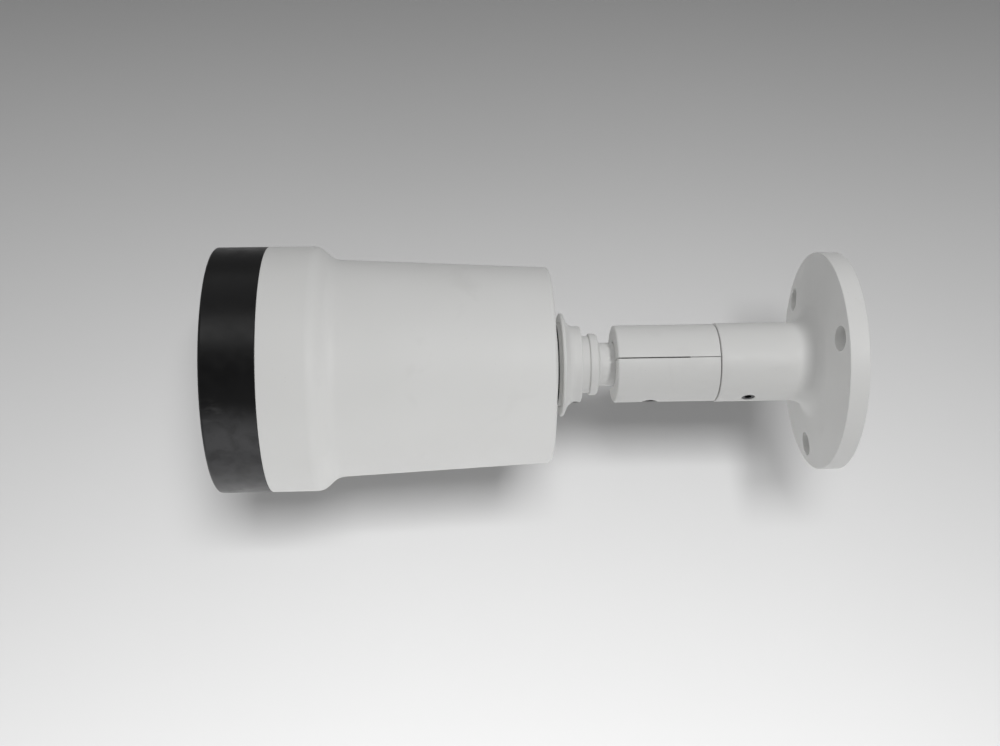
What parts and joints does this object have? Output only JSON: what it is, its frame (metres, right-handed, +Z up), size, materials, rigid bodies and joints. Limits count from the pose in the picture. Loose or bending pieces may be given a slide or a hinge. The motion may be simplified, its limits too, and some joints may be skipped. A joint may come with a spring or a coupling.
{
  "type": "security camera",
  "caption": "Bullet security camera with a tapered round housing, a black front ring and window, on a hollow bracket that pans, tilts and turns over a round wall flange.",
  "frame": {"origin": "centre of the wall screw circle in the flange's back face", "axes": "+Y into the wall, so the camera looks along -Y at rest; +Z up, away from the side that the head tilts to"},
  "size_m": [0.09, 0.2285, 0.09],
  "materials": {
    "powder_coat": "satin white powder coat on die-cast aluminium",
    "ring_black": "satin black",
    "screw_black": "black oxide",
    "screw_steel": "bright",
    "rubber_black": "matt",
    "washer_nylon": "matt",
    "window_glass": "clear, flat",
    "lens_glass": "coated",
    "clamp_black": "matt",
    "board_green": "solder mask",
    "led_clear": "clear resin",
    "photocell": "clear amber resin",
    "lens_black": "anodised black",
    "slider_black": "matt",
    "filter_red": "coated",
    "filter_clear": "clear",
    "motor_grey": "matt",
    "chip_black": "moulded",
    "frame_aluminium": "bare",
    "pad_grey": "soft",
    "connector_white": "moulded"
  },
  "bodies": {
    "wall_base": {"wall_flange": "powder_coat", "pan_lock_screw": "screw_black"},
    "arm": {"arm_shell_right": "powder_coat", "arm_shell_left": "powder_coat", "arm_shell_screw": "screw_steel", "pan_o_ring": "rubber_black", "tilt_lock_screw": "screw_black", "tilt_pivot_pin": "screw_steel"},
    "neck": {"neck_knuckle": "powder_coat", "pivot_washers": "washer_nylon", "roll_o_ring": "rubber_black"},
    "focus_grip": {"focus_ring": "lens_black", "focus_lock_screw": "screw_steel"},
    "zoom_grip": {"zoom_ring": "lens_black", "zoom_lock_screw": "screw_steel"},
    "front_group": {"front_cell": "lens_black", "front_lens": "lens_glass"},
    "rear_group": {"rear_cell": "lens_black", "rear_lens": "lens_glass"},
    "filter_carrier": {"ir_cut_slider": "slider_black", "ir_block_filter": "filter_red", "clear_filter": "filter_clear"},
    "head": {"neck_foot": "powder_coat", "rear_cover": "powder_coat", "housing_shell": "powder_coat", "front_ring": "ring_black", "roll_lock_screw": "screw_black", "rear_cover_screws": "screw_steel", "foot_screws": "screw_steel", "led_board_screws": "screw_steel", "sensor_board_screws": "screw_steel", "chassis_screws": "screw_steel", "main_board_screws": "screw_steel", "led_board_pillars": "screw_steel", "main_board_pillars": "screw_steel", "foot_gasket": "rubber_black", "rear_cover_gasket": "rubber_black", "front_seal": "rubber_black", "window_gasket": "rubber_black", "cable_grommet": "rubber_black", "lens_shroud": "rubber_black", "front_window": "window_glass", "window_clamp_ring": "clamp_black", "reflector_plate": "clamp_black", "ir_led_board": "board_green", "sensor_board": "board_green", "main_board": "board_green", "ir_leds": "led_clear", "light_sensor": "photocell", "lens_barrel": "lens_black", "lens_mount": "lens_black", "ir_cut_frame": "lens_black", "ir_cut_motor": "motor_grey", "image_sensor": "chip_black", "processor": "chip_black", "chassis": "frame_aluminium", "heat_sink": "frame_aluminium", "thermal_pad": "pad_grey", "board_connector": "connector_white"}
  },
  "joints": [
    {"name": "pan", "type": "hinge", "parent": "wall_base", "child": "arm", "pos_m": [0, 0, 0], "axis": [0, 1, 0], "continuous": true},
    {"name": "tilt", "type": "hinge", "parent": "arm", "child": "neck", "pos_m": [0, -0.0703, 0], "axis": [1, 0, 0], "range_deg": [0, 90]},
    {"name": "head_roll", "type": "hinge", "parent": "neck", "child": "head", "pos_m": [0, -0.0703, 0], "axis": [0, 1, 0], "continuous": true},
    {"name": "focus_turn", "type": "hinge", "parent": "head", "child": "focus_grip", "pos_m": [0, -0.0703, 0], "axis": [0, 1, 0], "range_deg": [0, 80]},
    {"name": "zoom_turn", "type": "hinge", "parent": "head", "child": "zoom_grip", "pos_m": [0, -0.0703, 0], "axis": [0, 1, 0], "range_deg": [0, 80]},
    {"name": "front_group_slide", "type": "slide", "parent": "head", "child": "front_group", "axis": [0, 1, 0], "range_m": [0, 0.0013]},
    {"name": "rear_group_slide", "type": "slide", "parent": "head", "child": "rear_group", "axis": [0, 1, 0], "range_m": [-0.0036, 0]},
    {"name": "filter_shift", "type": "slide", "parent": "head", "child": "filter_carrier", "axis": [1, 0, 0], "range_m": [0, 0.0095]}
  ],
  "couplings": [
    {"joint": "front_group_slide", "follows": "focus_turn", "m_per_rad": 0.0008594},
    {"joint": "rear_group_slide", "follows": "zoom_turn", "m_per_rad": -0.0025067}
  ]
}
